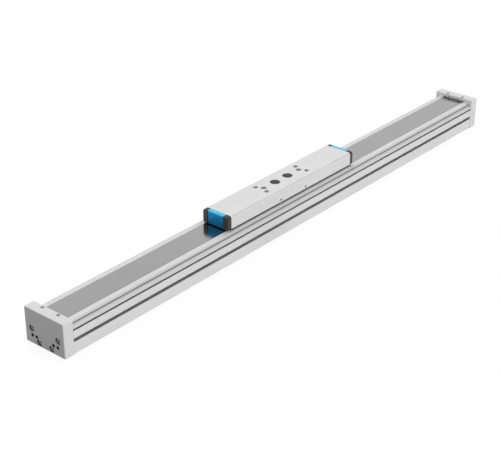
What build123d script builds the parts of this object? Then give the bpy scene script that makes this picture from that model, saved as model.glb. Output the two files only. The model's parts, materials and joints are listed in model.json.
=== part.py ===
from build123d import *

from collections import namedtuple
import math
import os

# A passive guide axis: an extruded aluminium profile that holds a guide rail, a long slide that
# runs along it on two recirculating ball runners, and a steel cover strip that closes the profile.
# The strip is clamped in both end plates and rides up over the slide's floor inside the slide.
# The axis lies along X with its near end at -X, Z is up, and the origin is at the centre of the
# underside. Sizes are in millimetres. Near and far name the ends, front is -Y and back is +Y.

# Travel
stroke = 600.0
stroke_reserve = 5.0
rest_offset = -11.5

# Profile section
profile_half = 34.0
profile_base = 0.75
profile_corner = 0.8
ledge_height = 42.8
ledge_outer = 26.0
ledge_corner = 0.4
ledge_thickness = 4.0
bevel_outer = 30.2
bevel_drop = 2.4
shoulder_drop = 6.8
line_groove = 1.0
channel_half = 19.5
channel_floor = 10.0
channel_corner = 1.2
mouth_half = 14.8
slot_opening = 5.0
slot_lip = 2.0
slot_chamber = 9.6
slot_depth = 6.4
slot_bevel = 1.6
side_slot_height = 19.5
bottom_slot_spacing = 44.0
sensor_opening = 2.4
sensor_lip = 1.2
sensor_chamber = 4.0
sensor_depth = 3.6
sensor_bevel = 0.6
sensor_drop = 8.9

# End plates
plate_overhang = 0.5
plate_rise = 6.2
plate_thickness = 16.0
plate_chamfer = 0.7
plate_screw_upper = (23.3, 21.5)
plate_screw_lower = (11.0, 5.3)
plate_screw_length = 25.0
dowel_spacing = 45.0
end_thread_spacing = 30.0
end_hole_height = 12.2
end_hole_radius = 2.5
end_hole_depth = 12.0
release_notch_spacing = 17.6
release_notch_radius = 1.6

# Rubber buffers on the end plates
buffer_radius = 5.0
buffer_rise = 2.6
buffer_chamfer = 1.0
buffer_stud_radius = 2.5
buffer_stud_length = 8.0
buffer_gap = 0.2

# Guide rail and its screws
rail_half = 7.5
rail_height = 13.0
rail_waist = 1.4
rail_groove_height = 7.0
rail_groove_width = 2.0
rail_groove_slope = 2.0
rail_crown_chamfer = 0.7
rail_end_gap = 1.0
rail_pitch = 80.0
rail_screw_length = 12.0
rail_screw_sink = 5.3

# Cover strip, its magnets and clamps
strip_half = 18.75
strip_thickness = 0.4
strip_grip = 11.0
strip_side_gap = 0.5
strip_end_gap = 1.0
ramp_radius = 95.0
ramp_margin = 2.0
magnet_inner = 15.5
magnet_width = 2.6
magnet_depth = 1.4
clamp_thickness = 1.5
clamp_half = 18.0
clamp_depth = 9.5
clamp_screw_spacing = 28.0
clamp_screw_inset = 4.3
clamp_screw_length = 3.6
clamp_screw_socket = 2.0
clamp_mouth_radius = 2.6

# Slide
slide_length = 284.0
slide_width = 45.5
slide_height = 19.7
slide_gap = 1.5
slide_corner = 3.5
slide_roof_thickness = 9.6
slide_floor_thickness = 6.6
slide_wall = 2.5
floor_end_inset = 60.0
mount_spacing_x = 90.0
mount_spacing_y = 20.0
mount_hole_depth = 8.0
mount_seat_radius = 3.5
mount_seat_depth = 1.6
side_hole_spacing = 56.0
side_hole_rise = 4.4
side_hole_depth = 8.0
plug_spacing = 28.0
plug_radius = 7.5
plug_thickness = 3.0
plug_chamfer = 0.3
plug_access_radius = 5.0
nipple_spacing = 78.6
nipple_seat_radius = 4.0
nipple_seat_depth = 2.4
nipple_head_radius = 2.9
nipple_head_height = 1.8
nipple_chamfer = 0.5
nipple_stem_radius = 2.0
nipple_stem_length = 6.0
nipple_bore = 0.9

# Caps at the slide's ends
cap_length = 7.5
cap_drop = 0.8
cap_corner = 4.0
cap_rounding = 2.0
insert_half = 14.0
insert_sill = 0.8
insert_depth = 4.4
insert_recess = 0.3
insert_lip = 1.2
insert_rounding = 1.2
cap_screw_spacing = 18.0
cap_screw_drop = 4.8
cap_screw_length = 10.0
wiper_half = 18.4
wiper_thickness = 1.8
wiper_inset = 5.2
wiper_seat_depth = 1.5

# Strip guides and seals inside the slide
guide_gap = 0.25
guide_tip = 0.5
guide_side_gap = 0.15
shoe_length = 48.0
seal_inner = 20.6
seal_width = 1.4
seal_seat_depth = 1.0
seal_ledge_gap = 0.3

# Saddle and ball runners
neck_half = 14.0
saddle_half = 17.0
saddle_end_inset = 29.0
saddle_base_thickness = 4.3
saddle_roof_gap = 0.5
runner_half = 17.0
runner_end_inset = 32.0
runner_body_length = 39.8
runner_cap_length = 8.5
runner_seal_length = 1.5
runner_floor_gap = 4.2
runner_clearance = 0.25
runner_cap_clearance = 0.5
runner_seal_clearance = 0.15
runner_cap_inset = 0.4
runner_chamfer = 1.0
runner_screw_spacing_x = 26.0
runner_screw_spacing_y = 16.0
runner_screw_length = 10.0
slide_screw_inset = 30.0
slide_screw_spacing_y = 16.0
slide_screw_length = 16.0

# Socket head cap screws and the cores of their threads
Screw = namedtuple("Screw", "radius head_radius head_height socket")
m3_screw = Screw(radius=1.5, head_radius=2.75, head_height=3.0, socket=2.5)
m4_screw = Screw(radius=2.0, head_radius=3.5, head_height=4.0, socket=3.0)
m5_screw = Screw(radius=2.5, head_radius=4.25, head_height=5.0, socket=4.0)
m4_core_radius = 1.65
m5_core_radius = 2.1

# Fits
thread_gap = 0.02
thread_run_out = 1.5
screw_tip_gap = 0.5
clearance_hole_gap = 0.25
head_side_gap = 0.3
head_top_gap = 0.45
flush_gap = 0.1
fit_gap = 0.1

# How far a cut reaches past the faces that it opens
overcut = 1.0

# Heights that follow from the sizes above
channel_roof = ledge_height - ledge_thickness
bevel_height = ledge_height - bevel_drop
shoulder_height = ledge_height - shoulder_drop
sensor_height = ledge_height - sensor_drop
rail_top = channel_floor + rail_height
plate_height = ledge_height + plate_rise
slide_bottom = ledge_height + slide_gap
slide_top = slide_bottom + slide_height
floor_top = slide_bottom + slide_floor_thickness
roof_bottom = slide_top - slide_roof_thickness
side_hole_height = slide_bottom + side_hole_rise
cap_bottom = slide_bottom - cap_drop
insert_bottom = cap_bottom + insert_sill
cap_screw_height = slide_top - cap_screw_drop
saddle_base_top = channel_roof - saddle_roof_gap
runner_top = saddle_base_top - saddle_base_thickness
buffer_height = runner_top + buffer_rise
strip_mid = ledge_height + strip_thickness / 2
strip_top = ledge_height + strip_thickness
strip_rise = floor_top + guide_gap + strip_thickness / 2 - strip_mid
pocket_top = strip_top + clamp_thickness + fit_gap

# Lengths and widths that follow
slide_half_length = slide_length / 2
body_half_length = slide_half_length - cap_length
profile_length = stroke + 2 * stroke_reserve + slide_length
profile_end = profile_length / 2
axis_end = profile_end + plate_thickness
plate_width = 2 * (profile_half + plate_overhang)
slide_half = slide_width / 2
tunnel_half = slide_half - slide_wall
floor_half_length = slide_half_length - cap_length - floor_end_inset
saddle_half_length = slide_half_length - saddle_end_inset
runner_offset = saddle_half_length - runner_end_inset
slide_screw_spacing_x = 2 * (floor_half_length - slide_screw_inset)
ramp_angle = math.degrees(math.acos(1 - strip_rise / (2 * ramp_radius)))
ramp_run = 2 * ramp_radius * math.sin(math.radians(ramp_angle))
ramp_foot = floor_half_length + ramp_margin + ramp_run
pocket_depth = strip_grip + strip_end_gap
buffer_length = slide_half_length + stroke_reserve - saddle_half_length - buffer_gap

CENTRE = Align.CENTER
LOW = Align.MIN


def bar_x(radius, start, end, y, z):
    """Round bar that lies along the axis from start to end."""
    length = end - start
    return Pos(start, y, z) * Rot(Y=90) * Cylinder(radius, length, align=(CENTRE, CENTRE, LOW))


def bar_y(radius, start, end, x, z):
    """Round bar that lies across the axis from start to end."""
    length = end - start
    return Pos(x, start, z) * Rot(X=-90) * Cylinder(radius, length, align=(CENTRE, CENTRE, LOW))


def bar_z(radius, start, end, x, y):
    """Upright round bar from start to end."""
    return Pos(x, y, start) * Cylinder(radius, end - start, align=(CENTRE, CENTRE, LOW))


def block(x_range, y_range, z_range):
    """Box between three pairs of limits."""
    sizes = [high - low for low, high in (x_range, y_range, z_range)]
    corner = (x_range[0], y_range[0], z_range[0])
    return Pos(*corner) * Box(*sizes, align=(LOW, LOW, LOW))


def both_signs(distance):
    """The two places at half of a spacing on either side of the middle."""
    return (-distance / 2, distance / 2)


def pairs(spacing_x, spacing_y):
    """The four corners of a rectangle about the middle."""
    return [(x, y) for x in both_signs(spacing_x) for y in both_signs(spacing_y)]


def mirrored_outline(points):
    """Closed cross-section from the points of its back half, listed from the bottom up."""
    front = [(-y, z) for y, z in reversed(points)]
    return make_face(Polyline(*points, *front, close=True))


def along_axis(face, start, end):
    """Solid of a cross-section that runs along the axis from start to end."""
    return Pos(X=start) * extrude(Plane.YZ * face, end - start)


def to_far_end(shape):
    """The same piece at the far end, turned into its mirror image."""
    return mirror(shape, about=Plane.YZ)


def socket_screw(size, length):
    """Cap screw with its head above the seat at the origin and its shank below."""
    head = bar_z(size.head_radius, 0, size.head_height, 0, 0)
    shank = bar_z(size.radius - thread_gap, -length, 0, 0, 0)
    drive = RegularPolygon(size.socket / 2, 6, major_radius=False)
    return head + shank - Pos(Z=size.head_height) * extrude(drive, -size.head_height / 2)


def slot_section(opening, lip, chamber, depth, bevel):
    """Section of an undercut groove whose mouth is at x = 0 and which runs into +x."""
    half_mouth = opening / 2
    half_chamber = chamber / 2
    points = [
        (-overcut, half_mouth),
        (lip, half_mouth),
        (lip, half_chamber),
        (depth - bevel, half_chamber),
        (depth, half_chamber - bevel),
    ]
    lower = [(x, -y) for x, y in reversed(points)]
    return make_face(Polyline(*points, *lower, close=True))


def profile_section():
    """Cross-section of the extrusion, with the screw channels for the end plates."""
    points = [
        (profile_half, profile_base),
        (profile_half, shoulder_height),
        (bevel_outer, bevel_height),
        (ledge_outer, ledge_height),
    ]
    section = mirrored_outline(points)
    section = fillet(section.vertices().group_by(Axis.Y)[0], profile_corner)
    section = fillet(section.vertices().group_by(Axis.Y)[-1], ledge_corner)

    channel = Rectangle(2 * channel_half, channel_roof - channel_floor, align=(CENTRE, LOW))
    mouth = Rectangle(2 * mouth_half, ledge_thickness + 2 * overcut, align=(CENTRE, LOW))
    section -= Pos(0, channel_floor) * fillet(channel.vertices(), channel_corner)
    section -= Pos(0, channel_roof - overcut) * mouth

    side_slot = slot_section(slot_opening, slot_lip, slot_chamber, slot_depth, slot_bevel)
    sensor_slot = slot_section(sensor_opening, sensor_lip, sensor_chamber, sensor_depth, sensor_bevel)
    for slot, height in ((side_slot, side_slot_height), (sensor_slot, sensor_height)):
        section -= Pos(-profile_half, height) * slot
        section -= Pos(profile_half, height) * Rot(Z=180) * slot
    for y in both_signs(bottom_slot_spacing):
        section -= Pos(y, profile_base) * Rot(Z=90) * side_slot

    slope = math.degrees(math.atan2(bevel_drop, bevel_outer - ledge_outer))
    line = Rectangle(line_groove, 2 * line_groove)
    magnet_room = Rectangle(magnet_width + 2 * fit_gap, magnet_depth + 2 * overcut, align=(CENTRE, LOW))
    magnet_middle = magnet_inner + magnet_width / 2
    for side in (-1, 1):
        section -= Pos(side * (bevel_outer - line_groove / 2), bevel_height) * Rot(Z=-side * slope) * line
        section -= Pos(side * magnet_middle, ledge_height - magnet_depth - fit_gap) * magnet_room
        for y, z in (plate_screw_upper, plate_screw_lower):
            section -= Pos(side * y, z) * Circle(m5_screw.radius)
    return section


def rail_screw_places():
    """Places along the axis of the screws that hold the rail."""
    usable = profile_length - 2 * rail_end_gap - rail_pitch / 2
    count = int(usable // rail_pitch) + 1
    start = -rail_pitch * (count - 1) / 2
    return [start + rail_pitch * index for index in range(count)]


def profile():
    """Extruded beam with T-slots, a rail channel and a mouth for the saddle's neck."""
    beam = extrude(Plane.YZ * profile_section(), profile_end, both=True)
    tip = rail_top - rail_screw_sink - rail_screw_length - thread_run_out
    return beam - [bar_z(m4_screw.radius, tip, rail_top, x, 0) for x in rail_screw_places()]


def end_plate():
    """Near end plate with the pocket that takes the end of the cover strip."""
    inner = -profile_end
    outside = -axis_end - overcut
    inside = inner + overcut
    plate = block((-axis_end, inner), both_signs(plate_width), (0, plate_height))
    plate = chamfer(plate.edges(), plate_chamfer)
    cuts = []

    seat = -axis_end + m5_screw.head_height + head_top_gap
    for side in (-1, 1):
        for y, z in (plate_screw_upper, plate_screw_lower):
            cuts.append(bar_x(m5_screw.radius + clearance_hole_gap, outside, inside, side * y, z))
            cuts.append(bar_x(m5_screw.head_radius + head_top_gap, outside, seat, side * y, z))
    for spacing in (dowel_spacing, end_thread_spacing):
        for y in both_signs(spacing):
            end = -axis_end + end_hole_depth
            cuts.append(bar_x(end_hole_radius, outside, end, y, end_hole_height))

    half = strip_half + strip_side_gap
    cuts.append(block((inner - pocket_depth, inside), (-half, half), (ledge_height, pocket_top)))
    for y in both_signs(release_notch_spacing):
        cuts.append(bar_x(release_notch_radius, inner - pocket_depth, inside, y, pocket_top))
    above = plate_height + overcut
    mouth = plate_height - (clamp_mouth_radius - m4_screw.radius)
    for y in both_signs(clamp_screw_spacing):
        x = inner - clamp_screw_inset
        cuts.append(bar_z(m4_screw.radius, pocket_top - overcut, above, x, y))
        cuts.append(bar_z(clamp_mouth_radius, mouth, above, x, y))

    stud_end = inner - buffer_stud_length - flush_gap
    cuts.append(bar_x(buffer_stud_radius, stud_end, inside, 0, buffer_height))
    return plate - cuts


def end_plate_screws():
    """The four cap screws of the near end plate."""
    seat = -axis_end + m5_screw.head_height + head_top_gap
    screw = Rot(Y=-90) * socket_screw(m5_screw, plate_screw_length)
    places = [(side * y, z) for side in (-1, 1) for y, z in (plate_screw_upper, plate_screw_lower)]
    return [Pos(seat, y, z) * screw for y, z in places]


def buffer():
    """Rubber stop on the near end plate that the saddle meets at the end of its travel."""
    inner = -profile_end
    pad = bar_x(buffer_radius, inner, inner + buffer_length, 0, buffer_height)
    pad = chamfer(pad.edges().group_by(Axis.X)[-1], buffer_chamfer)
    stud_radius = buffer_stud_radius - thread_gap
    return pad + bar_x(stud_radius, inner - buffer_stud_length, inner, 0, buffer_height)


def strip_clamp():
    """Flat bar that presses the near end of the strip onto its pocket floor."""
    start = -profile_end - strip_grip
    x_range = (start, start + clamp_depth)
    return block(x_range, (-clamp_half, clamp_half), (strip_top, strip_top + clamp_thickness))


def strip_clamp_screws():
    """Set screws above the near clamp bar, each with a hexagon socket."""
    low = strip_top + clamp_thickness
    high = low + clamp_screw_length
    x = -profile_end - clamp_screw_inset
    drive = extrude(RegularPolygon(clamp_screw_socket / 2, 6, major_radius=False), -clamp_screw_socket)
    radius = m4_screw.radius - thread_gap
    return [bar_z(radius, low, high, x, y) - Pos(x, y, high) * drive for y in both_signs(clamp_screw_spacing)]


def rail_section(clearance=0.0):
    """Cross-section of the ball rail, or of the space that clears it."""
    waist = rail_half - rail_waist
    groove_middle = channel_floor + rail_groove_height
    flat = rail_groove_width / 2
    points = [
        (rail_half, channel_floor),
        (rail_half, groove_middle - flat - rail_groove_slope),
        (waist, groove_middle - flat),
        (waist, groove_middle + flat),
        (rail_half, groove_middle + flat + rail_groove_slope),
        (rail_half, rail_top - rail_crown_chamfer),
        (rail_half - rail_crown_chamfer, rail_top),
    ]
    section = mirrored_outline(points)
    if clearance == 0:
        return section
    return offset(section, clearance, kind=Kind.INTERSECTION)


def guide_rail():
    """Rail with sunk holes for its screws."""
    end = profile_end - rail_end_gap
    low = channel_floor - overcut
    seat = rail_top - rail_screw_sink
    high = rail_top + overcut
    cuts = []
    for x in rail_screw_places():
        cuts.append(bar_z(m4_screw.radius + clearance_hole_gap, low, high, x, 0))
        cuts.append(bar_z(m4_screw.head_radius + head_side_gap, seat, high, x, 0))
    return along_axis(rail_section(), -end, end) - cuts


def guide_rail_screws():
    """One cap screw in each hole of the rail."""
    screw = socket_screw(m4_screw, rail_screw_length)
    seat = rail_top - rail_screw_sink
    return [Pos(x, 0, seat) * screw for x in rail_screw_places()]


def magnet_strip(side):
    """Magnetic band in the ledge that holds the cover strip down."""
    y_range = sorted((side * magnet_inner, side * (magnet_inner + magnet_width)))
    end = profile_end - fit_gap
    top = ledge_height - fit_gap
    return block((-end, end), y_range, (top - magnet_depth, top))


def strip_path(shift):
    """Edges of the strip's path over the slide, seen from the front, moved along its normal."""
    level = strip_mid + shift
    end = profile_end + strip_grip
    near_end = -end - rest_offset
    far_end = end - rest_offset
    edges = [Line((near_end, level), (-ramp_foot, level))]
    for bends in ((1, -1), (-1, 1)):
        for turn in bends:
            last = edges[-1]
            edges.append(JernArc(last @ 1, last % 1, ramp_radius - turn * shift, turn * ramp_angle))
        last_point = edges[-1] @ 1
        goal = -last_point.X if bends[0] == 1 else far_end
        edges.append(Line(last_point, (goal, last_point.Y)))
    return edges


def across(edges, half_width):
    """Solid of a closed side outline that runs across the axis."""
    return extrude(Plane.XZ * make_face(edges), half_width, both=True)


def closed_at(edges, height):
    """The path's edges closed by a straight run at the given height."""
    start = edges[0] @ 0
    end = edges[-1] @ 1
    corners = [end, (end.X, height), (start.X, height), start]
    return [*edges, Polyline(*corners)]


def cover_strip():
    """Steel strip from clamp to clamp, raised over the slide's floor."""
    lower = strip_path(-strip_thickness / 2)
    upper = strip_path(strip_thickness / 2)
    ends = [Line(lower[0] @ 0, upper[0] @ 0), Line(lower[-1] @ 1, upper[-1] @ 1)]
    return across([*lower, *upper, *ends], strip_half)


def slide_section():
    """Outline of the slide with its two rounded upper corners."""
    outline = Pos(0, slide_bottom) * Rectangle(slide_width, slide_height, align=(CENTRE, LOW))
    return fillet(outline.vertices().group_by(Axis.Y)[-1], slide_corner)


def slide_body():
    """Long slide with a tunnel for the strip and a floor that seats on the saddle's neck."""
    body = along_axis(slide_section(), -body_half_length, body_half_length)
    reach = body_half_length + overcut
    below = slide_bottom - overcut
    above = slide_top + overcut
    across_tunnel = (-tunnel_half, tunnel_half)
    cuts = [block((-reach, reach), across_tunnel, (floor_top, roof_bottom))]
    for start, end in ((-reach, -floor_half_length), (floor_half_length, reach)):
        cuts.append(block((start, end), across_tunnel, (below, roof_bottom)))

    for side in (-1, 1):
        seal_range = sorted((side * (seal_inner - fit_gap), side * (seal_inner + seal_width + fit_gap)))
        cuts.append(block((-reach, reach), seal_range, (below, slide_bottom + seal_seat_depth)))
        start, end = sorted((side * (body_half_length - cap_screw_length), side * reach))
        for y in both_signs(cap_screw_spacing):
            cuts.append(bar_x(m3_screw.radius, start, end, y, cap_screw_height))

    for x in both_signs(side_hole_spacing):
        start = -slide_half - overcut
        end = -slide_half + side_hole_depth
        cuts.append(bar_y(m4_core_radius, start, end, x, side_hole_height))
    for x, y in pairs(mount_spacing_x, mount_spacing_y):
        cuts.append(bar_z(m5_core_radius, slide_top - mount_hole_depth, above, x, y))
        cuts.append(bar_z(mount_seat_radius, slide_top - mount_seat_depth, above, x, y))
    for x in both_signs(plug_spacing):
        cuts.append(bar_z(plug_radius, slide_top - plug_thickness - flush_gap, above, x, 0))
        cuts.append(bar_z(plug_access_radius, roof_bottom - overcut, above, x, 0))
    for x in both_signs(nipple_spacing):
        cuts.append(bar_z(nipple_seat_radius, slide_top - nipple_seat_depth, above, x, 0))
        cuts.append(bar_z(nipple_stem_radius, roof_bottom - overcut, above, x, 0))
    thread_end = runner_top + slide_screw_length + screw_tip_gap
    for x, y in pairs(slide_screw_spacing_x, slide_screw_spacing_y):
        cuts.append(bar_z(m5_screw.radius, below, thread_end, x, y))
    return body - cuts


def saddle():
    """T-shaped bar that joins the slide to the runners through the profile's mouth."""
    points = [
        (saddle_half, runner_top),
        (saddle_half, saddle_base_top),
        (neck_half, saddle_base_top),
        (neck_half, slide_bottom),
    ]
    bar = along_axis(mirrored_outline(points), -saddle_half_length, saddle_half_length)
    low = runner_top - overcut
    high = slide_bottom + overcut
    seat = slide_bottom - m4_screw.head_height - head_top_gap
    cuts = []
    for centre in (-runner_offset, runner_offset):
        for x, y in pairs(runner_screw_spacing_x, runner_screw_spacing_y):
            cuts.append(bar_z(m4_screw.radius + clearance_hole_gap, low, high, centre + x, y))
            cuts.append(bar_z(m4_screw.head_radius + head_side_gap, seat, high, centre + x, y))
    for x, y in pairs(slide_screw_spacing_x, slide_screw_spacing_y):
        cuts.append(bar_z(m5_screw.radius + clearance_hole_gap, low, high, x, y))
    return bar - cuts


def runner_screws():
    """Cap screws sunk in the saddle's top that hold both runners."""
    screw = socket_screw(m4_screw, runner_screw_length)
    seat = slide_bottom - m4_screw.head_height - head_top_gap
    corners = pairs(runner_screw_spacing_x, runner_screw_spacing_y)
    centres = (-runner_offset, runner_offset)
    return [Pos(centre + x, y, seat) * screw for centre in centres for x, y in corners]


def slide_screws():
    """Cap screws that go up through the saddle into the slide's floor."""
    screw = Rot(X=180) * socket_screw(m5_screw, slide_screw_length)
    corners = pairs(slide_screw_spacing_x, slide_screw_spacing_y)
    return [Pos(x, y, runner_top) * screw for x, y in corners]


def runner_piece(start, end, clearance, inset):
    """One length of a runner, open below so that it straddles the rail."""
    bottom = channel_floor + runner_floor_gap + inset
    height = runner_top - inset - bottom
    outline = Pos(0, bottom) * Rectangle(2 * (runner_half - inset), height, align=(CENTRE, LOW))
    outline = chamfer(outline.vertices(), runner_chamfer)
    return along_axis(outline - rail_section(clearance), start, end)


def runner_block():
    """Steel body of the near runner with its tapped holes."""
    half = runner_body_length / 2
    body = runner_piece(-runner_offset - half, -runner_offset + half, runner_clearance, 0.0)
    seat = slide_bottom - m4_screw.head_height - head_top_gap
    low = seat - runner_screw_length - thread_run_out
    high = runner_top + overcut
    corners = pairs(runner_screw_spacing_x, runner_screw_spacing_y)
    return body - [bar_z(m4_screw.radius, low, high, x - runner_offset, y) for x, y in corners]


def runner_end_caps():
    """Two plastic ball returns, one on each face of the near runner."""
    half = runner_body_length / 2
    starts = (-runner_offset - half - runner_cap_length, -runner_offset + half)
    length = runner_cap_length
    return [runner_piece(x, x + length, runner_cap_clearance, runner_cap_inset) for x in starts]


def runner_seals():
    """Two rubber end seals outside the near runner's ball returns."""
    half = runner_body_length / 2 + runner_cap_length
    starts = (-runner_offset - half - runner_seal_length, -runner_offset + half)
    length = runner_seal_length
    inset = 2 * runner_cap_inset
    return [runner_piece(x, x + length, runner_seal_clearance, inset) for x in starts]


def slide_cap():
    """Near end cap of the slide, with a recess for its insert and a seat for the wiper."""
    start = -slide_half_length
    end = start + cap_length
    outline = Pos(0, cap_bottom) * Rectangle(slide_width, slide_top - cap_bottom, align=(CENTRE, LOW))
    cap = along_axis(fillet(outline.vertices(), cap_corner), start, end)
    cap = fillet(cap.faces().sort_by(Axis.X)[0].edges(), cap_rounding)

    recess_end = start + insert_recess + insert_depth
    recess_height = (insert_bottom, slide_top + overcut)
    lip_height = (slide_top - insert_lip, slide_top + overcut)
    cuts = [block((start - overcut, recess_end), (-insert_half, insert_half), recess_height)]
    cuts.append(block((recess_end, end + overcut), (-insert_half, insert_half), lip_height))
    wiper_range = (start + wiper_inset, start + wiper_inset + wiper_thickness)
    wiper_room = both_signs(2 * (wiper_half + fit_gap))
    cuts.append(block(wiper_range, wiper_room, (cap_bottom - overcut, cap_bottom + wiper_seat_depth)))
    hole = m3_screw.radius + clearance_hole_gap
    for y in both_signs(cap_screw_spacing):
        cuts.append(bar_x(hole, recess_end - overcut, end + overcut, y, cap_screw_height))
    return cap - cuts


def cap_insert():
    """Coloured clip-in cover in the near cap, with a lip on top and room behind for screw heads."""
    start = -slide_half_length + insert_recess
    end = start + insert_depth - fit_gap
    y_range = both_signs(2 * (insert_half - fit_gap))
    cover = block((start, end), y_range, (insert_bottom + fit_gap, slide_top - flush_gap))
    cover = fillet(cover.faces().sort_by(Axis.X)[0].edges(), insert_rounding)
    lip_end = -slide_half_length + cap_length - fit_gap
    lip_height = (slide_top - insert_lip + fit_gap, slide_top - flush_gap)
    cover += block((end, lip_end), y_range, lip_height)
    pocket_start = end - m3_screw.head_height - head_top_gap
    radius = m3_screw.head_radius + head_top_gap
    places = both_signs(cap_screw_spacing)
    return cover - [bar_x(radius, pocket_start, end + overcut, y, cap_screw_height) for y in places]


def cap_screws():
    """Two screws that hold the near cap, hidden behind its insert."""
    seat = -slide_half_length + insert_recess + insert_depth
    screw = Rot(Y=-90) * socket_screw(m3_screw, cap_screw_length)
    return [Pos(seat, y, cap_screw_height) * screw for y in both_signs(cap_screw_spacing)]


def strip_wiper():
    """Felt wiper in the near cap that cleans the strip."""
    start = -slide_half_length + wiper_inset
    z_range = (strip_top + fit_gap, cap_bottom + wiper_seat_depth)
    return block((start, start + wiper_thickness), (-wiper_half, wiper_half), z_range)


def strip_guide():
    """Near plastic ramp on the saddle that lifts the strip from below."""
    gap = strip_thickness / 2 + guide_gap
    climb = slide_bottom + guide_tip - (strip_mid - gap)
    start = -ramp_foot + math.sqrt(2 * ramp_radius * climb)
    half = tunnel_half - guide_side_gap
    room = block((start, -floor_half_length), (-half, half), (slide_bottom, floor_top))
    return room & across(closed_at(strip_path(-gap), 0.0), slide_half)


def strip_shoe():
    """Near plastic shoe under the slide's roof that holds the strip down."""
    gap = strip_thickness / 2 + guide_gap
    half = tunnel_half - guide_side_gap
    x_range = (-body_half_length, -body_half_length + shoe_length)
    room = block(x_range, (-half, half), (ledge_height, roof_bottom))
    return room & across(closed_at(strip_path(gap), slide_top), slide_half)


def side_seal(side):
    """Sealing lip along the underside of one wall of the slide."""
    y_range = sorted((side * seal_inner, side * (seal_inner + seal_width)))
    z_range = (ledge_height + seal_ledge_gap, slide_bottom + seal_seat_depth)
    return block((-body_half_length, body_half_length), y_range, z_range)


def cover_plugs():
    """Flush round plugs in the slide's top."""
    high = slide_top - flush_gap
    radius = plug_radius - fit_gap
    plugs = [bar_z(radius, high - plug_thickness, high, x, 0) for x in both_signs(plug_spacing)]
    return [chamfer(plug.edges().group_by(Axis.Z)[-1], plug_chamfer) for plug in plugs]


def lube_nipples():
    """Sunk lubrication nipples on the slide's centre line."""
    seat = slide_top - nipple_seat_depth
    top = seat + nipple_head_height
    nipples = []
    for x in both_signs(nipple_spacing):
        head = bar_z(nipple_head_radius, seat, top, x, 0)
        head = chamfer(head.edges().group_by(Axis.Z)[-1], nipple_chamfer)
        stem = bar_z(nipple_stem_radius - thread_gap, seat - nipple_stem_length, seat, x, 0)
        nipples.append(head + stem - bar_z(nipple_bore, seat, top + overcut, x, 0))
    return nipples


def both_ends(name, shape):
    """Named near and far copies of a piece, or of a group of pieces."""
    shapes = shape if isinstance(shape, list) else [shape]
    return {f"{name}_near": shapes, f"{name}_far": [to_far_end(piece) for piece in shapes]}


def axis_nodes():
    """Everything that stays with the profile."""
    nodes = {
        "profile": [profile()],
        "guide_rail": [guide_rail()],
        "guide_rail_screws": guide_rail_screws(),
        "magnet_strip_front": [magnet_strip(-1)],
        "magnet_strip_back": [magnet_strip(1)],
    }
    nodes |= both_ends("end_plate", end_plate())
    nodes |= both_ends("end_plate_screws", end_plate_screws())
    nodes |= both_ends("buffer", buffer())
    nodes |= both_ends("strip_clamp", strip_clamp())
    nodes |= both_ends("strip_clamp_screws", strip_clamp_screws())
    return nodes


def carriage_nodes():
    """Everything that is placed about the slide's middle, with the strip that passes through it."""
    nodes = {
        "cover_strip": [cover_strip()],
        "slide_body": [slide_body()],
        "saddle": [saddle()],
        "runner_screws": runner_screws(),
        "slide_screws": slide_screws(),
        "side_seal_front": [side_seal(-1)],
        "side_seal_back": [side_seal(1)],
        "cover_plugs": cover_plugs(),
        "lube_nipples": lube_nipples(),
    }
    nodes |= both_ends("runner_block", runner_block())
    nodes |= both_ends("runner_end_caps", runner_end_caps())
    nodes |= both_ends("runner_seals", runner_seals())
    nodes |= both_ends("slide_cap", slide_cap())
    nodes |= both_ends("cap_insert", cap_insert())
    nodes |= both_ends("cap_screws", cap_screws())
    nodes |= both_ends("strip_wiper", strip_wiper())
    nodes |= both_ends("strip_guide", strip_guide())
    nodes |= both_ends("strip_shoe", strip_shoe())
    return {name: [Pos(X=rest_offset) * piece for piece in pieces] for name, pieces in nodes.items()}


def write_nodes(nodes):
    """One STEP file for each node."""
    os.makedirs("parts", exist_ok=True)
    for name, pieces in nodes.items():
        solids = [solid for piece in pieces for solid in piece.solids()]
        shape = solids[0] if len(solids) == 1 else Compound(children=solids)
        export_step(shape, f"parts/{name}.step")


write_nodes(axis_nodes() | carriage_nodes())
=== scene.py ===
import json
import math
from functools import partial

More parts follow.
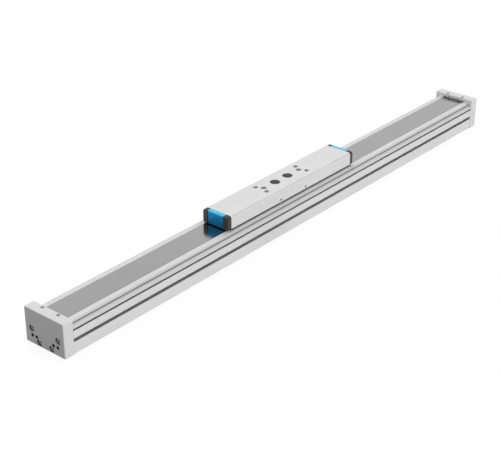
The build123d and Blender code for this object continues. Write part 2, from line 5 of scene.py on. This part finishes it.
import bmesh
import bpy
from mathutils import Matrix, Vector

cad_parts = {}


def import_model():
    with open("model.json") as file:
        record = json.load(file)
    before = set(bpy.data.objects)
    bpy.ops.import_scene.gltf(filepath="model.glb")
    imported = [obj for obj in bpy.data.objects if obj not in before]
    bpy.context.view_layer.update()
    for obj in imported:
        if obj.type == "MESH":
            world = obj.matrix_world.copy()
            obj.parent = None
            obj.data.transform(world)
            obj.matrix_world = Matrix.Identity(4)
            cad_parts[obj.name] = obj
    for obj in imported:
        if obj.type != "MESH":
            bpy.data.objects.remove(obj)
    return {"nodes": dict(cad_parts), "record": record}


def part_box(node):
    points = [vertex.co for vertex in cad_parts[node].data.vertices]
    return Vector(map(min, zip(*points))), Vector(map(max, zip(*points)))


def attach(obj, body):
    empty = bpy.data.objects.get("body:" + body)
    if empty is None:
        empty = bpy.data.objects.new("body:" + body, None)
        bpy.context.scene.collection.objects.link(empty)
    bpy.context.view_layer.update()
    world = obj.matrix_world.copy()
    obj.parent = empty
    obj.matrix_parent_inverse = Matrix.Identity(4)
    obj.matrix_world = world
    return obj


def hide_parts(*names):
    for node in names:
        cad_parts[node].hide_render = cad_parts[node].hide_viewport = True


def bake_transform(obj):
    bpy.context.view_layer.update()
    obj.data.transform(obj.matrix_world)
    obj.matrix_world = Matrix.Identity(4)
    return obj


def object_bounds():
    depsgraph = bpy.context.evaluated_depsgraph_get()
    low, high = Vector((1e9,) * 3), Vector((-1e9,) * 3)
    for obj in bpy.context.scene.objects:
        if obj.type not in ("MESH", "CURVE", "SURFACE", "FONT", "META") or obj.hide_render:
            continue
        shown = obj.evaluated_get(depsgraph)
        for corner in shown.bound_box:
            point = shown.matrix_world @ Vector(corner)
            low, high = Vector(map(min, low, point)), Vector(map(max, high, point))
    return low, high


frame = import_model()

# A passive guide axis on a plain pale floor. Lengths are in metres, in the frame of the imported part:
# +X along the travel, -Y the front, +Z up.

cad_box = [list(corner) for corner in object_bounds()]

# Camera: a long lens at the photograph's viewing angle, with angles in degrees and lens sizes in millimetres
camera_place = (-1.31010, -1.03597, 0.85790)
camera_turn = 49.888
camera_dip = 27.602
camera_lens = 93.19
sensor_width = 36.0
nearest_seen = 0.05
farthest_seen = 60.0


def camera():
    """The photograph's view, without shift."""
    data = bpy.data.cameras.new("camera")
    data.sensor_fit = "HORIZONTAL"
    data.sensor_width = sensor_width
    data.lens = camera_lens
    data.clip_start = nearest_seen
    data.clip_end = farthest_seen
    piece = bpy.data.objects.new("camera", data)
    piece.location = camera_place
    piece.rotation_euler = (math.radians(90.0 - camera_dip), 0.0, -math.radians(camera_turn))
    bpy.context.scene.collection.objects.link(piece)
    bpy.context.scene.camera = piece


class Graph:
    """A material's or the world's node tree, with short ways to add and join nodes."""

    def __init__(self, tree):
        self.tree = tree
        self.tree.nodes.clear()

    def add(self, kind, inputs=None, **settings):
        """A new node with its settings and inputs, where an input is a value or another node's socket."""
        node = self.tree.nodes.new(kind)
        for name, value in settings.items():
            setattr(node, name, value)
        for name, value in (inputs or {}).items():
            socket = node.inputs[name]
            if isinstance(value, bpy.types.NodeSocket):
                self.tree.links.new(value, socket)
            else:
                socket.default_value = value
        return node

    def calculate(self, operation, first, second=0.0):
        """Result of an operation on two values or sockets."""
        return self.add("ShaderNodeMath", {0: first, 1: second}, operation=operation).outputs[0]

    def ramp(self, value, low, high, start, end):
        """Smooth step from a start to an end, as a socket goes from a low to a high value."""
        inputs = {"Value": value, "From Min": low, "From Max": high, "To Min": start, "To Max": end}
        return self.add("ShaderNodeMapRange", inputs, interpolation_type="SMOOTHSTEP").outputs["Result"]

    def coordinate(self, axis, kind="Object"):
        """One coordinate of a place on the piece, or of its outward direction there."""
        vector = self.add("ShaderNodeTexCoord").outputs[kind]
        return self.add("ShaderNodeSeparateXYZ", {"Vector": vector}).outputs[axis]


def material(name):
    """An empty node material and its graph."""
    made = bpy.data.materials.new(name)
    made.use_nodes = True
    return made, Graph(made.node_tree)


def noise(graph, scale, along=None, detail=3.0, roughness=0.5):
    """Noise from 0 to 1 over the piece, in turns per metre, which may be other ones along the travel."""
    at = graph.add("ShaderNodeTexCoord").outputs["Object"]
    stretch = {"Vector": at, "Scale": (along or scale, scale, scale)}
    vector = graph.add("ShaderNodeMapping", stretch).outputs["Vector"]
    inputs = {"Vector": vector, "Scale": 1.0, "Detail": detail, "Roughness": roughness}
    return graph.add("ShaderNodeTexNoise", inputs).outputs["Fac"]


def scaled(graph, color, factor):
    """A colour, as three numbers or a socket, times a factor that varies over the piece."""
    if not isinstance(color, bpy.types.NodeSocket):
        color = (*color, 1.0)
    factors = graph.add("ShaderNodeCombineColor", {"Red": factor, "Green": factor, "Blue": factor})
    inputs = {"Factor": 1.0, "A": color, "B": factors.outputs["Color"]}
    return graph.add("ShaderNodeMix", inputs, data_type="RGBA", blend_type="MULTIPLY").outputs["Result"]


def shade(graph, color, tone, spread):
    """A colour made darker or lighter by up to a spread, as a tone goes from 0 to 1."""
    return scaled(graph, color, graph.ramp(tone, 0.0, 1.0, 1.0 - spread, 1.0 + spread))


# Range that most of a noise lies in
noise_low = 0.3
noise_high = 0.7


def uneven(graph, tone, middle, spread):
    """A level that lies within a spread of its middle and follows a noise."""
    return graph.ramp(tone, noise_low, noise_high, middle - spread, middle + spread)


# Painted shade in hollows: how far a face looks for what closes it in, the share of open directions that
# counts as all open, and the number of rays that look
hollow_reach = 0.009
all_open = 0.9
hollow_rays = 12


def painted_hollow_shade(graph, darkest, closed=0.1):
    """Painted shade: darker in slots, holes and sharp inner corners, where shade falls, and one elsewhere.
    """
    reach = {"Distance": hollow_reach}
    free = graph.add("ShaderNodeAmbientOcclusion", reach, only_local=True, samples=hollow_rays)
    return graph.ramp(free.outputs["AO"], closed, all_open, darkest, 1.0)


# Painted shade on slopes, as the product of the parts across and up of a face's outward direction, which is
# a half at
# 45 degrees and nothing on a flat or upright face
slope_begins = 0.3
slope_full = 0.48


def painted_slope_shade(graph, tone):
    """Painted shade: a tone on long edges that slope between flat and upright, and one elsewhere."""
    across = graph.coordinate("Y", "Normal")
    up = graph.coordinate("Z", "Normal")
    slope = graph.calculate("ABSOLUTE", graph.calculate("MULTIPLY", across, up))
    return graph.ramp(slope, slope_begins, slope_full, 1.0, tone)


# Painted shade along the side lines of the profile, as drop below its top, reach to each side and tone in
# the middle
painted_side_lines = ((0.0024, 0.0030, 0.66), (0.0085, 0.0045, 0.85))


def painted_line_shade(graph):
    """Painted shade, darker along the profile's line and sensor slot, and one elsewhere."""
    height = graph.coordinate("Z")
    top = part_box("profile")[1].z
    factor = 1.0
    for drop, reach, tone in painted_side_lines:
        away = graph.calculate("ABSOLUTE", graph.calculate("SUBTRACT", height, top - drop))
        factor = graph.calculate("MULTIPLY", graph.ramp(away, 0.0, reach, tone, 1.0), factor)
    return factor


# Depth of the skin that counts as a plate's flat face
face_margin = 0.00005


def painted_face_light(graph, outer_painted_shade, inner_painted_light):
    """Painted shade on the flat outer faces and painted light on the flat inner faces of the end plates, and
    one elsewhere.
    """
    distance = graph.calculate("ABSOLUTE", graph.coordinate("X"))
    inner = graph.calculate("LESS_THAN", distance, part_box("end_plate_far")[0].x + face_margin)
    outer = graph.calculate("GREATER_THAN", distance, cad_box[1][0] - face_margin)
    inner_factor = graph.ramp(inner, 0.0, 1.0, 1.0, inner_painted_light)
    outer_factor = graph.ramp(outer, 0.0, 1.0, 1.0, outer_painted_shade)
    return graph.calculate("MULTIPLY", inner_factor, outer_factor)


def finish(graph, color, rough, relief, depth, **values):
    """The shader itself, with its colour, roughness and relief of a depth."""
    height = {"Height": relief, "Strength": 1.0, "Distance": depth}
    bump = graph.add("ShaderNodeBump", height).outputs["Normal"]
    inputs = {"Base Color": color, "Roughness": rough, "Normal": bump}
    for name, value in values.items():
        inputs[name.replace("_", " ")] = value
    shader = graph.add("ShaderNodeBsdfPrincipled", inputs)
    graph.add("ShaderNodeOutputMaterial", {"Surface": shader.outputs["BSDF"]})


# Spreads of a metal's colour, as a share of it, and of its roughness
metal_spread = 0.10
metal_gloss_spread = 0.04


def metal(graph, color, metallic, rough, painted_shading, relief, patches, relief_share, depth, spread):
    """Metal whose colour and gloss follow its relief and cloudy patches, and whose colour takes on painted
    light and shade.
    """
    from_relief = graph.calculate("MULTIPLY", relief, relief_share)
    from_patches = graph.calculate("MULTIPLY", patches, 1.0 - relief_share)
    tone = graph.calculate("ADD", from_relief, from_patches)
    surface = shade(graph, color, tone, spread)
    for tone_of in painted_shading:
        surface = scaled(graph, surface, tone_of(graph))
    gloss = uneven(graph, tone, rough, metal_gloss_spread)
    finish(graph, surface, gloss, relief, depth, Metallic=metallic)


# Drawn metal: length of its lines as a multiple of their width, its patches in turns per metre, and how
# much the lines count beside the patches
line_stretch = 150.0
drawn_patches = 14.0
drawn_relief_share = 0.5


def drawn_metal(name, color, metallic, rough, painted_shading=(), lines=2200.0, depth=8e-6, spread=metal_spread):
    """Metal with fine lines along the travel."""
    made, graph = material(name)
    relief = noise(graph, lines, lines / line_stretch, detail=2.0)
    patches = noise(graph, drawn_patches, detail=4.0)
    metal(graph, color, metallic, rough, painted_shading, relief, patches, drawn_relief_share, depth, spread)
    return made


# Milled metal: its grain and patches in turns per metre, the depth of its grain, and how much the grain
# counts beside the patches
milled_grain = 2600.0
milled_patches = 24.0
milled_depth = 6e-6
milled_relief_share = 0.4


def milled_metal(name, color, metallic, rough, painted_shading=()):
    """Metal with an even fine grain, as after milling, blasting and anodising."""
    made, graph = material(name)
    relief = noise(graph, milled_grain, detail=2.0)
    patches = noise(graph, milled_patches, detail=4.0)
    metal(graph, color, metallic, rough, painted_shading, relief, patches, milled_relief_share, milled_depth,
          metal_spread)
    return made


# Moulded parts: their grain and patches in turns per metre, the depth of the grain, and the spreads of
# a plain colour, a graded one and the roughness
moulded_grain = 3200.0
moulded_patches = 60.0
moulded_depth = 6e-6
moulded_spread = 0.06
graded_spread = 0.04
moulded_gloss_spread = 0.05


def moulded_skin(graph, rough):
    """Fine grain of a moulded part, and its uneven gloss."""
    grain = noise(graph, moulded_grain, detail=2.0, roughness=0.6)
    return grain, uneven(graph, noise(graph, moulded_patches), rough, moulded_gloss_spread)


def moulded(name, color, rough, **values):
    """Plastic or rubber of one colour."""
    made, graph = material(name)
    grain, gloss = moulded_skin(graph, rough)
    surface = shade(graph, color, grain, moulded_spread)
    finish(graph, surface, gloss, grain, moulded_depth, **values)
    return made


# Colours of the cap inserts from their lower to their upper edge, with the share of the height of each:
# their own blue, with painted shade towards the lower edge and a painted highlight at the upper edge
insert_blue_and_painted_light = (
    (0.00, (0.0, 0.045, 0.14)),
    (0.45, (0.0, 0.15, 0.42)),
    (0.88, (0.0, 0.26, 0.61)),
    (1.00, (0.12, 0.52, 0.76)),
)


def plastic_painted_by_height(name, node, colors, rough, **values):
    """Moulded plastic whose colour changes over the height of a node, with painted shade low down and a
    painted highlight on top.
    """
    made, graph = material(name)
    low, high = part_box(node)
    heights = {"Value": graph.coordinate("Z"), "From Min": low.z, "From Max": high.z}
    share = graph.add("ShaderNodeMapRange", heights).outputs["Result"]
    ramp = graph.add("ShaderNodeValToRGB", {"Fac": share})
    stops = ramp.color_ramp.elements
    for height, _ in colors[1:-1]:
        stops.new(height)
    for stop, (_, color) in zip(stops, colors):
        stop.color = (*color, 1.0)
    grain, gloss = moulded_skin(graph, rough)
    surface = shade(graph, ramp.outputs["Color"], grain, graded_spread)
    finish(graph, surface, gloss, grain, moulded_depth, **values)
    return made


# Felt: its fibres in turns per metre, across and along the travel, their depth, and its roughness
fibres_across = 5200.0
fibres_along = 1800.0
fibre_depth = 1e-4
fibre_spread = 0.5
felt_rough = 0.95


def felt(name, color):
    """Pressed fibres, longer along the travel."""
    made, graph = material(name)
    fibres = noise(graph, fibres_across, fibres_along, detail=6.0, roughness=0.7)
    finish(graph, shade(graph, color, fibres, fibre_spread), felt_rough, fibres, fibre_depth)
    return made


def materials():
    """One finish for each material slot of the record."""
    pale = (0.74, 0.74, 0.745)
    # Painted shade in hollows, on slopes and along the profile's side lines, and painted light and shade on
    # the plates' faces
    profile_painted_shade = (partial(painted_hollow_shade, darkest=0.22), partial(painted_slope_shade, tone=0.86), painted_line_shade)
    slide_painted_shade = (partial(painted_hollow_shade, darkest=0.4), partial(painted_slope_shade, tone=0.80))
    plate_painted_light_and_shade = (partial(painted_hollow_shade, darkest=0.03, closed=0.3),
                   partial(painted_face_light, outer_painted_shade=0.67, inner_painted_light=1.22))
    screw_painted_shade = (partial(painted_hollow_shade, darkest=0.03, closed=0.4),)
    recipes = {
        "anodised_profile": partial(drawn_metal, color=pale, metallic=0.15, rough=0.45, painted_shading=profile_painted_shade),
        "anodised_plate": partial(milled_metal, color=(0.72, 0.72, 0.725), metallic=0.15, rough=0.5,
                                  painted_shading=plate_painted_light_and_shade),
        "anodised_slide": partial(drawn_metal, color=pale, metallic=0.15, rough=0.45, painted_shading=slide_painted_shade),
        "milled_aluminium": partial(milled_metal, color=(0.70, 0.70, 0.71), metallic=0.8, rough=0.35),
        "strip_steel": partial(drawn_metal, color=(0.36, 0.36, 0.36), metallic=1.0, rough=0.14,
                               lines=3200.0, depth=5e-7, spread=0.08),
        "ground_steel": partial(drawn_metal, color=(0.55, 0.55, 0.56), metallic=1.0, rough=0.25),
        "clamp_steel": partial(milled_metal, color=(0.75, 0.75, 0.75), metallic=0.3, rough=0.4),
        "screw_steel": partial(milled_metal, color=(0.62, 0.62, 0.63), metallic=0.5, rough=0.4,
                               painted_shading=screw_painted_shade),
        "nipple_steel": partial(milled_metal, color=(0.28, 0.28, 0.28), metallic=1.0, rough=0.30),
        "magnet_band": partial(moulded, color=(0.08, 0.08, 0.08), rough=0.7),
        "buffer_rubber": partial(moulded, color=(0.05, 0.05, 0.05), rough=0.7),
        "seal_rubber": partial(moulded, color=(0.01, 0.01, 0.01), rough=0.8, Specular_IOR_Level=0.2),
        "runner_plastic": partial(moulded, color=(0.06, 0.06, 0.06), rough=0.5),
        "black_cap": partial(moulded, color=(0.022, 0.022, 0.024), rough=0.42),
        "black_plug": partial(moulded, color=(0.018, 0.018, 0.019), rough=0.5),
        "guide_plastic": partial(moulded, color=(0.10, 0.10, 0.10), rough=0.45),
        "blue_insert": partial(plastic_painted_by_height, node="cap_insert_near", colors=insert_blue_and_painted_light, rough=0.3,
                               IOR=1.8, Specular_IOR_Level=1.0, Specular_Tint=(0.0, 0.6, 1.0, 1.0)),
        "wiper_felt": partial(felt, color=(0.12, 0.12, 0.12)),
    }
    return {name: recipe(name) for name, recipe in recipes.items()}


def dress(finishes):
    """Gives every carried-over node the finish of its slot."""
    for part in frame["record"]["subparts"]:
        piece = frame["nodes"][part["node"]]
        if not piece.material_slots:
            piece.data.materials.append(None)
        for holder in piece.material_slots:
            holder.material = finishes[part["material_slot"]]


# Edges between faces that turn by more degrees than this are sharp
sharp_turn = 30.0


def ring_piece(name, rings):
    """A closed piece through rings of as many points each, with its sharp edges marked."""
    work = bmesh.new()
    loops = [[work.verts.new(point) for point in ring] for ring in rings]
    for first, second in zip(loops, loops[1:]):
        for index in range(len(first)):
            after = (index + 1) % len(first)
            work.faces.new((first[index], second[index], second[after], first[after]))
    work.faces.new(loops[0])
    work.faces.new(loops[-1])
    bmesh.ops.recalc_face_normals(work, faces=work.faces)
    for face in work.faces:
        face.smooth = True
    for edge in work.edges:
        edge.smooth = edge.calc_face_angle(0.0) < math.radians(sharp_turn)
    mesh = bpy.data.meshes.new(name)
    work.to_mesh(mesh)
    work.free()
    piece = bpy.data.objects.new(name, mesh)
    bpy.context.scene.collection.objects.link(piece)
    return piece


def stand_in(piece, node, slot, finishes):
    """Gives a piece its finish and hides the node that it stands for."""
    piece.data.materials.append(finishes[slot])
    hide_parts(node)


# Cover strip: flat from each clamp to the slide, and raised inside the slide. The raised piece begins an
# entrance inset inside the caps' outer ends, and is up a guide inset outside the guides' inner ends
strip_thickness = 0.0004
ramp_radius = 0.095
entrance_inset = 0.006
guide_inset = 0.002
ramp_steps = 24


def strip_ramp(rise):
    """Places along and up a ramp of two arcs that climbs by a rise, from its foot."""
    angle = math.acos(1.0 - rise / (2.0 * ramp_radius))
    run = 2.0 * ramp_radius * math.sin(angle)
    climb = []
    for step in range(ramp_steps + 1):
        turn = 2.0 * angle * step / ramp_steps
        if turn <= angle:
            along = ramp_radius * math.sin(turn)
            height = ramp_radius * (1.0 - math.cos(turn))
        else:
            back = 2.0 * angle - turn
            along = run - ramp_radius * math.sin(back)
            height = rise - ramp_radius * (1.0 - math.cos(back))
        climb.append((along, height))
    return climb


def strip_outline():
    """The raised strip's underside, as places along the travel and heights, between its entrances."""
    low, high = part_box("cover_strip")
    slide_low, slide_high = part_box("slide_body")
    middle = (slide_low.x + slide_high.x) / 2
    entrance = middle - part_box("slide_cap_near")[0].x - entrance_inset
    climb = strip_ramp(high.z - low.z - strip_thickness)
    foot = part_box("strip_guide_far")[0].x - middle + guide_inset + climb[-1][0]
    near = [(middle - foot + along, low.z + height) for along, height in climb]
    far = [(2.0 * middle - x, z) for x, z in reversed(near)]
    return [(middle - entrance, low.z), *near, *far, (middle + entrance, low.z)]


def strip_piece(name, outline, half_width):
    """A strip of even thickness above an outline."""
    rings = []
    for x, z in outline:
        top = z + strip_thickness
        rings.append([(x, -half_width, z), (x, half_width, z), (x, half_width, top), (x, -half_width, top)])
    return ring_piece(name, rings)


def cover_strip(finishes):
    """Three pieces that stand for the strip, so that it rises wherever the slide stands."""
    low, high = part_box("cover_strip")
    outline = strip_outline()
    near_end = outline[0]
    far_end = outline[-1]
    raised = strip_piece("cover_strip_raised", outline, high.y)
    near = strip_piece("cover_strip_near", [(low.x, low.z), near_end], high.y)
    far = strip_piece("cover_strip_far", [far_end, (high.x, low.z)], high.y)
    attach(raised, "carriage")
    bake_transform(near)
    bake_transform(far)
    for piece in (raised, near, far):
        stand_in(piece, "cover_strip", "strip_steel", finishes)


# Sealing lips below the slide's walls, a little proud of the walls and just clear of the ledges
lip_proud = 0.00015
lip_reach = 0.0006
lip_foot = 0.0003
ledge_clearance = 0.00005


def side_seals(finishes):
    """Lips that close the gap below the slide's walls and grip the walls' lower edges."""
    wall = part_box("slide_body")[1].y
    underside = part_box("slide_body")[0].z
    edge = wall + lip_proud
    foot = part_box("profile")[1].z + ledge_clearance
    for side, node in ((-1.0, "side_seal_front"), (1.0, "side_seal_back")):
        low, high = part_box(node)
        inner, outer = sorted((abs(low.y), abs(high.y)))
        section = (
            (inner, high.z),
            (outer, high.z),
            (outer, underside),
            (wall, underside),
            (wall, underside + lip_reach),
            (edge, underside + lip_reach),
            (edge, foot + lip_foot),
            (edge - lip_foot, foot),
            (inner, foot),
        )
        rings = [[(x, side * y, z) for y, z in section] for x in (low.x, high.x)]
        piece = ring_piece(node + "_lip", rings)
        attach(piece, "carriage")
        stand_in(piece, node, "seal_rubber", finishes)


# Cap screws of the end plates, with low heads that sit a head seat below the plates' outer faces. Each
# screw is turned by a further screw turn, in radians
head_radius = 0.00425
head_height = 0.0025
head_chamfer = 0.0004
head_seat = 0.0052
shank_radius = 0.00248
socket_half_width = 0.0015
socket_depth = 0.0018
lower_screw_y = 0.011
screw_turn = 0.7
ring_points = 36


def ring_turns():
    """Evenly spread angles of the points of a ring."""
    return [2.0 * math.pi * index / ring_points for index in range(ring_points)]


def round_ring(radius):
    """Points of a circle."""
    return [(radius * math.cos(turn), radius * math.sin(turn)) for turn in ring_turns()]


def hexagon_ring(half_width):
    """As many points on a hexagon, with its corners among them."""
    ring = []
    for turn in ring_turns():
        radius = half_width / math.cos((turn % (math.pi / 3.0)) - math.pi / 6.0)
        ring.append((radius * math.cos(turn), radius * math.sin(turn)))
    return ring


def turned(ring, turn):
    """A ring's points turned about its middle."""
    across = math.cos(turn)
    up = math.sin(turn)
    return [(y * across - z * up, y * up + z * across) for y, z in ring]


def end_plate_screws(end, side, finishes):
    """The four screws of one end plate, each turned a little differently."""
    node = "end_plate_screws_" + end
    low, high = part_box(node)
    shank_end = low.x if side > 0 else high.x
    seat = side * (cad_box[1][0] - head_seat)
    head_top = seat + side * head_height
    sections = (
        (round_ring(shank_radius), shank_end),
        (round_ring(shank_radius), seat),
        (round_ring(head_radius), seat),
        (round_ring(head_radius), head_top - side * head_chamfer),
        (round_ring(head_radius - head_chamfer), head_top),
        (hexagon_ring(socket_half_width), head_top),
        (hexagon_ring(socket_half_width), head_top - side * socket_depth),
    )
    upper = (high.y - head_radius, high.z - head_radius)
    lower = (lower_screw_y, low.z + head_radius)
    places = [(sign * y, z) for y, z in (upper, lower) for sign in (-1.0, 1.0)]
    for number, (middle_y, middle_z) in enumerate(places, 1):
        rings = []
        for ring, x in sections:
            points = turned(ring, screw_turn * number)
            rings.append([(x, middle_y + y, middle_z + z) for y, z in points])
        piece = ring_piece("end_plate_screw_%s_%d" % (end, number), rings)
        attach(piece, "axis")
        stand_in(piece, node, "screw_steel", finishes)


# Floor: the camera sees a mix of a white glow and a white surface with shadows, and the light that the
# floor throws back at the object comes from a darker surface
floor_size = 24.0
floor_gap = 0.0002
floor_white = 0.95
floor_glow = 1.04
floor_glow_share = 0.85
floor_bounce = 0.30


def grey(level):
    """A colour without hue."""
    return (level, level, level, 1.0)


def seen_directly(graph):
    """One for what the camera sees, also in metal and through glass, and nothing for light's own paths."""
    rays = graph.add("ShaderNodeLightPath")
    straight = graph.calculate("MAXIMUM", rays.outputs["Is Camera Ray"], rays.outputs["Is Glossy Ray"])
    return graph.calculate("MAXIMUM", straight, rays.outputs["Is Transmission Ray"])


def floor():
    """Plain pale floor that keeps a faint shadow."""
    mesh = bpy.data.meshes.new("floor")
    half = floor_size / 2
    corners = [(x, y, -floor_gap) for x, y in ((-half, -half), (half, -half), (half, half), (-half, half))]
    mesh.from_pydata(corners, [], [(0, 1, 2, 3)])
    piece = bpy.data.objects.new("floor", mesh)
    bpy.context.scene.collection.objects.link(piece)
    made, graph = material("floor")
    seen = seen_directly(graph)
    shadowed = graph.add("ShaderNodeBsdfDiffuse", {"Color": grey(floor_white)}).outputs[0]
    glow = graph.add("ShaderNodeEmission", {"Color": grey(1.0), "Strength": floor_glow}).outputs[0]
    shown = graph.add("ShaderNodeMixShader", {0: floor_glow_share, 1: shadowed, 2: glow}).outputs[0]
    lit = graph.add("ShaderNodeBsdfDiffuse", {"Color": grey(floor_bounce)}).outputs[0]
    mix = graph.add("ShaderNodeMixShader", {0: seen, 1: lit, 2: shown})
    graph.add("ShaderNodeOutputMaterial", {"Surface": mix.outputs[0]})
    mesh.materials.append(made)


# Studio: the direction that is brightest, the turns away from it where the light stops changing, as
# cosines, and its levels there
bright_side = (0.80, 0.0, 0.60)
dim_cosine = -0.6
bright_cosine = 0.8
dim_level = 0.45
bright_level = 0.75


def world():
    """Soft studio: bright above and on the right, dim on the left, and white behind the object."""
    made = bpy.data.worlds.new("studio")
    made.use_nodes = True
    bpy.context.scene.world = made
    graph = Graph(made.node_tree)
    direction = graph.add("ShaderNodeTexCoord").outputs["Generated"]
    cosine = graph.add("ShaderNodeVectorMath", {0: direction, 1: bright_side}, operation="DOT_PRODUCT")
    level = graph.ramp(cosine.outputs["Value"], dim_cosine, bright_cosine, dim_level, bright_level)
    strength = graph.calculate("MAXIMUM", level, seen_directly(graph))
    light = graph.add("ShaderNodeBackground", {"Color": grey(1.0), "Strength": strength})
    graph.add("ShaderNodeOutputWorld", {"Surface": light.outputs[0]})


def sun(name, toward, strength, spread):
    """A soft distant lamp that shines along a direction. Metal shows the white studio, not the lamp."""
    data = bpy.data.lights.new(name, "SUN")
    data.energy = strength
    data.angle = math.radians(spread)
    piece = bpy.data.objects.new(name, data)
    piece.rotation_euler = Vector(toward).to_track_quat("-Z", "Y").to_euler()
    piece.visible_glossy = False
    bpy.context.scene.collection.objects.link(piece)


finishes = materials()
dress(finishes)
cover_strip(finishes)
side_seals(finishes)
end_plate_screws("near", -1.0, finishes)
end_plate_screws("far", 1.0, finishes)
camera()
floor()
world()
sun("above", toward=(-0.20, -0.50, -0.84), strength=0.85, spread=40.0)
sun("front", toward=(-0.35, 0.93, -0.10), strength=1.90, spread=30.0)

bpy.context.scene.view_settings.view_transform = "Standard"
